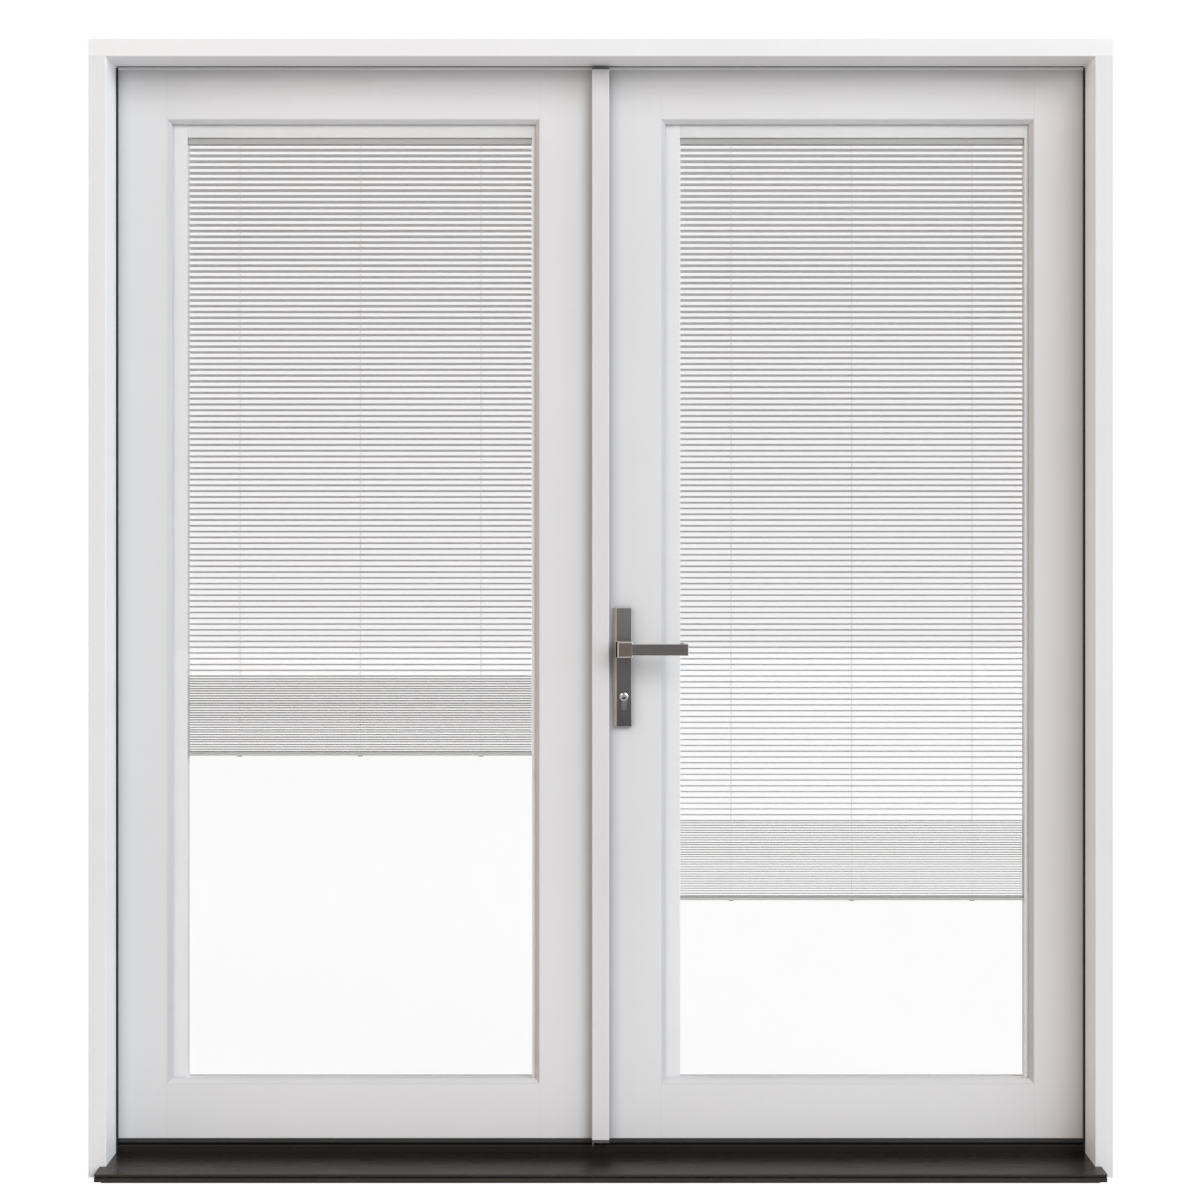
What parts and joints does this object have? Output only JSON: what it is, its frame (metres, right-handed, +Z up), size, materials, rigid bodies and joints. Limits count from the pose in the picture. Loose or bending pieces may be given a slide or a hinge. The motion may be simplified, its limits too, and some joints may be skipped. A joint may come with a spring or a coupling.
{
  "type": "french doors",
  "caption": "Inswing glazed leaves in their own frame, with a blind sealed between the panes, a lever lock on the active leaf and an astragal on the passive leaf.",
  "frame": {"origin": "middle of the sill's underside, halfway through the depth of the jambs", "axes": "+X to the right seen from outdoors, +Y from outdoors to the room, +Z up"},
  "size_m": [1.81, 0.214, 2.012],
  "materials": {
    "painted_frame": "satin white paint",
    "painted_leaf": "satin white paint",
    "glazing_bead": "white moulded bead",
    "bronze_sill": "dark bronze anodised",
    "sill_core": "grey composite",
    "grey_seal": "light grey foam-filled seal",
    "black_seal": "black seal",
    "hinge_steel": "satin nickel",
    "lock_steel": "satin zinc",
    "cylinder_chrome": "polished",
    "handle_metal": "brushed",
    "glass": "clear float glass",
    "spacer": "white coated",
    "blind_rail": "white coated",
    "slats": "white coated",
    "cords": "white polyester cord",
    "blind_bar": "grey coated",
    "slider": "white"
  },
  "bodies": {
    "frame": {"head_jamb": "painted_frame", "left_jamb": "painted_frame", "right_jamb": "painted_frame", "sill_deck": "bronze_sill", "sill_core": "sill_core", "sill_riser": "bronze_sill", "head_weatherstrip": "grey_seal", "jamb_weatherstrips": "black_seal", "hinge_frame_plates": "hinge_steel", "hinge_pins": "hinge_steel", "hinge_screws": "hinge_steel", "bolt_keepers": "hinge_steel"},
    "left_leaf": {"left_hinge_stile": "painted_leaf", "left_lock_stile": "painted_leaf", "left_top_rail": "painted_leaf", "left_bottom_rail": "painted_leaf", "left_outer_beads": "glazing_bead", "left_inner_beads": "glazing_bead", "left_glass_panes": "glass", "left_spacer_bars": "spacer", "left_headrail": "blind_rail", "left_hanging_slats": "slats", "left_ladder_cords": "cords", "left_door_sweep": "black_seal", "left_hinge_plates": "hinge_steel", "astragal": "painted_leaf", "astragal_seals": "black_seal", "strike_plate": "lock_steel"},
    "right_leaf": {"right_hinge_stile": "painted_leaf", "right_lock_stile": "painted_leaf", "right_top_rail": "painted_leaf", "right_bottom_rail": "painted_leaf", "right_outer_beads": "glazing_bead", "right_inner_beads": "glazing_bead", "right_glass_panes": "glass", "right_spacer_bars": "spacer", "right_headrail": "blind_rail", "right_hanging_slats": "slats", "right_ladder_cords": "cords", "right_door_sweep": "black_seal", "right_hinge_plates": "hinge_steel", "lock_case": "lock_steel", "lock_faceplate": "lock_steel", "lock_cylinder": "cylinder_chrome", "outer_plate": "handle_metal", "inner_plate": "handle_metal", "plate_screws": "lock_steel"},
    "left_blind": {"left_gathered_slats": "slats", "left_bottom_bar": "blind_bar"},
    "right_blind": {"right_gathered_slats": "slats", "right_bottom_bar": "blind_bar"},
    "left_slider": {"left_blind_slider": "slider"},
    "right_slider": {"right_blind_slider": "slider"},
    "handle": {"outer_lever": "handle_metal", "inner_lever": "handle_metal"},
    "latch": {"latch_bolt": "lock_steel"},
    "bolt": {"deadbolt": "lock_steel"},
    "cylinder": {"cylinder_turn": "cylinder_chrome"},
    "top_bolt": {"top_flush_bolt": "lock_steel"},
    "bottom_bolt": {"bottom_flush_bolt": "lock_steel"}
  },
  "joints": [
    {"name": "right_leaf_swing", "type": "hinge", "parent": "frame", "child": "right_leaf", "pos_m": [0.88535, 0.0653, 0], "axis": [0, 0, -1], "range_deg": [0, 105]},
    {"name": "left_leaf_swing", "type": "hinge", "parent": "frame", "child": "left_leaf", "pos_m": [-0.88535, 0.0653, 0], "axis": [0, 0, 1], "range_deg": [0, 100]},
    {"name": "left_blind_lift", "type": "slide", "parent": "left_leaf", "child": "left_blind", "axis": [0, 0, 1], "range_m": [-0.579, 0.794], "deforming": ["left_hanging_slats", "left_ladder_cords"]},
    {"name": "left_slider_travel", "type": "slide", "parent": "left_leaf", "child": "left_slider", "axis": [0, 0, 1], "range_m": [-0.794, 0.579]},
    {"name": "right_blind_lift", "type": "slide", "parent": "right_leaf", "child": "right_blind", "axis": [0, 0, 1], "range_m": [-0.317, 1.056], "deforming": ["right_hanging_slats", "right_ladder_cords"]},
    {"name": "right_slider_travel", "type": "slide", "parent": "right_leaf", "child": "right_slider", "axis": [0, 0, 1], "range_m": [-1.056, 0.317]},
    {"name": "lever_turn", "type": "hinge", "parent": "right_leaf", "child": "handle", "pos_m": [0.042, 0.03575, 0.932], "axis": [0, 1, 0], "range_deg": [0, 45], "stiffness_Nm_per_rad": 1.2, "springref_deg": -34.38},
    {"name": "latch_slide", "type": "slide", "parent": "right_leaf", "child": "latch", "axis": [1, 0, 0], "range_m": [0, 0.012]},
    {"name": "key_turn", "type": "hinge", "parent": "right_leaf", "child": "cylinder", "pos_m": [0.042, 0.03575, 0.847], "axis": [0, 1, 0], "range_deg": [0, 90]},
    {"name": "bolt_throw", "type": "slide", "parent": "right_leaf", "child": "bolt", "axis": [-1, 0, 0], "range_m": [0, 0.02]},
    {"name": "top_bolt_throw", "type": "slide", "parent": "left_leaf", "child": "top_bolt", "axis": [0, 0, 1], "range_m": [0, 0.016]},
    {"name": "bottom_bolt_throw", "type": "slide", "parent": "left_leaf", "child": "bottom_bolt", "axis": [0, 0, -1], "range_m": [0, 0.024]}
  ],
  "couplings": [
    {"joint": "left_leaf_swing", "follows": "right_leaf_swing", "ratio": 0.95238},
    {"joint": "left_slider_travel", "follows": "left_blind_lift", "ratio": -1},
    {"joint": "right_slider_travel", "follows": "right_blind_lift", "ratio": -1},
    {"joint": "latch_slide", "follows": "lever_turn", "m_per_rad": 0.015278},
    {"joint": "key_turn", "follows": "bolt_throw", "rad_per_m": 78.539}
  ]
}
